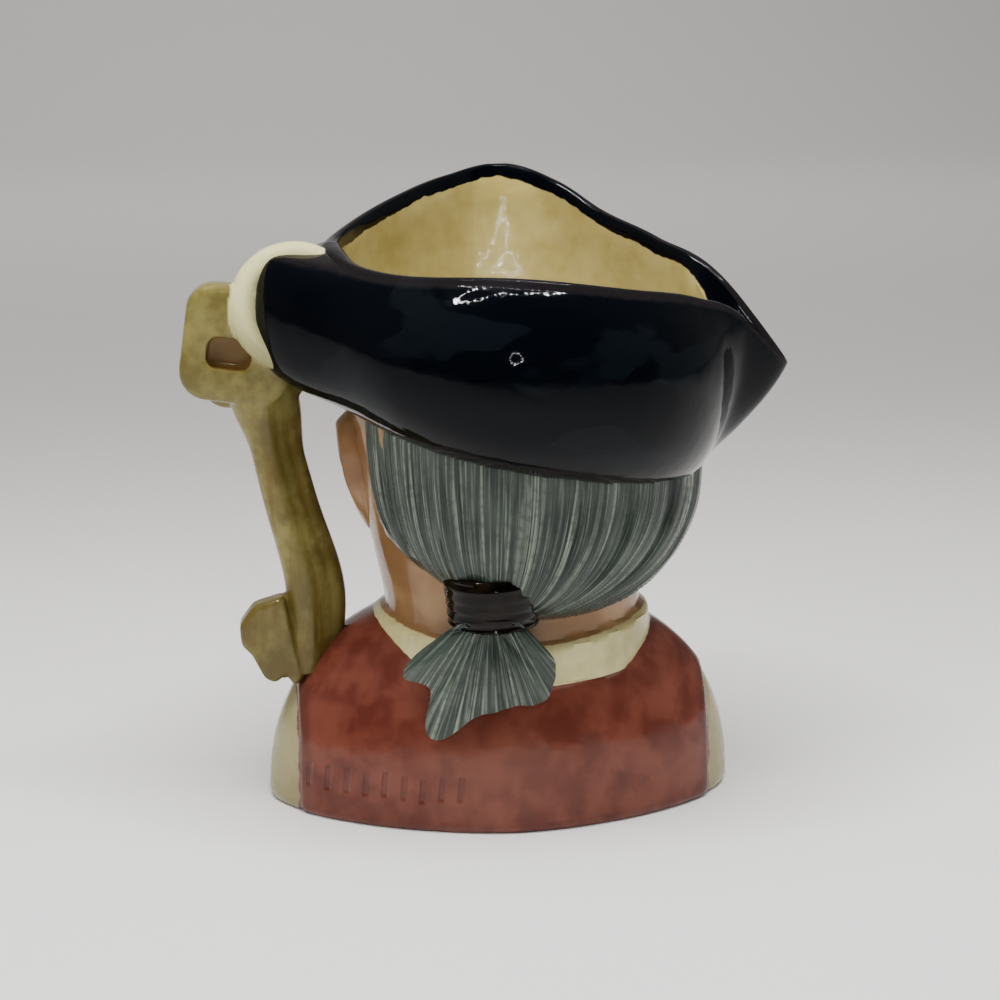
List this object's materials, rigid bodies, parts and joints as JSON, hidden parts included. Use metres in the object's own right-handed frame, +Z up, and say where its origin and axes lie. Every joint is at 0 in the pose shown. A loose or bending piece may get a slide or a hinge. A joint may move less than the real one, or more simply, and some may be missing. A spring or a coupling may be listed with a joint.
{
  "type": "character jug",
  "caption": "Glazed pottery jug shaped as the bust of a man in a cocked hat, open at the top of the hat, with keys on a hoop for its handle.",
  "frame": {"origin": "on the ground, under the middle of the jug's bounding box, hat and handle included", "axes": "+Z up, the face looks along -Y, the handle stands on the +X side"},
  "size_m": [0.1734, 0.1284, 0.1784],
  "materials": {
    "glazed_earthenware": "gloss"
  },
  "bodies": {
    "root": {"jug": "glazed_earthenware"}
  },
  "joints": []
}
